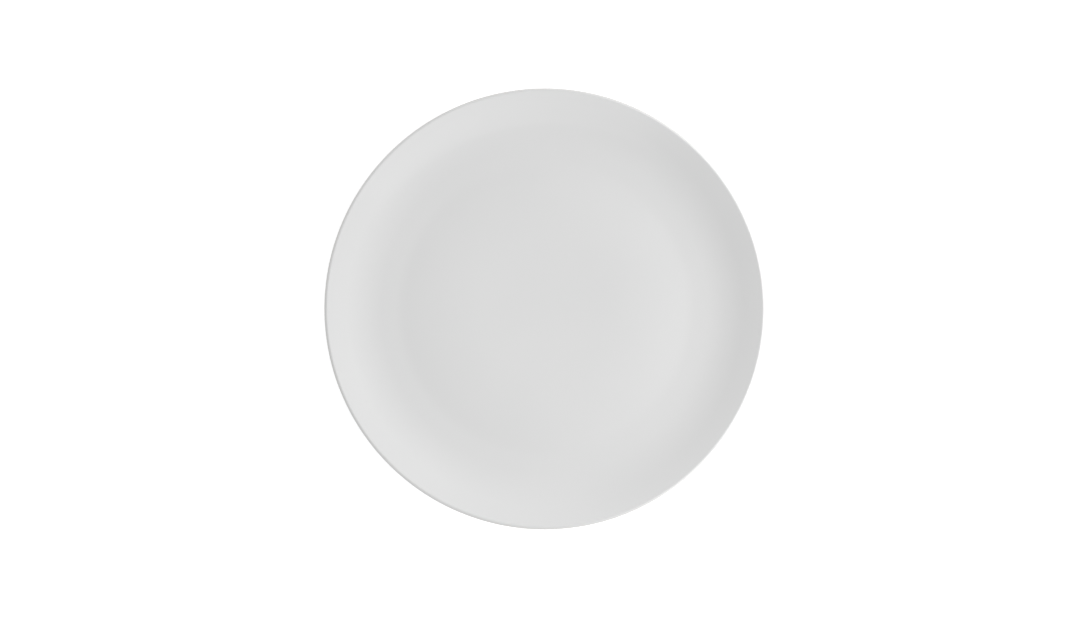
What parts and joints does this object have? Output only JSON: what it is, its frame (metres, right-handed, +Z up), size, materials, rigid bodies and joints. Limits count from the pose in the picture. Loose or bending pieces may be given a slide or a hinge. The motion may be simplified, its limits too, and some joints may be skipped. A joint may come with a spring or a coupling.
{
  "type": "charger plate",
  "caption": "Round white porcelain charger plate with a softly dished middle that sweeps up to a plain sloping rim and rounded lip, standing on a low foot ring.",
  "frame": {"origin": "on the table plane, at the middle of the foot ring, on the plate's axis", "axes": "+Z up along the plate's axis, out of the face; +X and +Y lie across the plate, which is the same all round"},
  "size_m": [0.3199, 0.32, 0.022],
  "materials": {
    "porcelain": "fired, bare and matt on the foot's bearing land",
    "glaze": "smooth gloss white glaze"
  },
  "bodies": {
    "root": {"porcelain_body": "porcelain", "main_glaze": "glaze", "base_glaze": "glaze"}
  },
  "joints": []
}
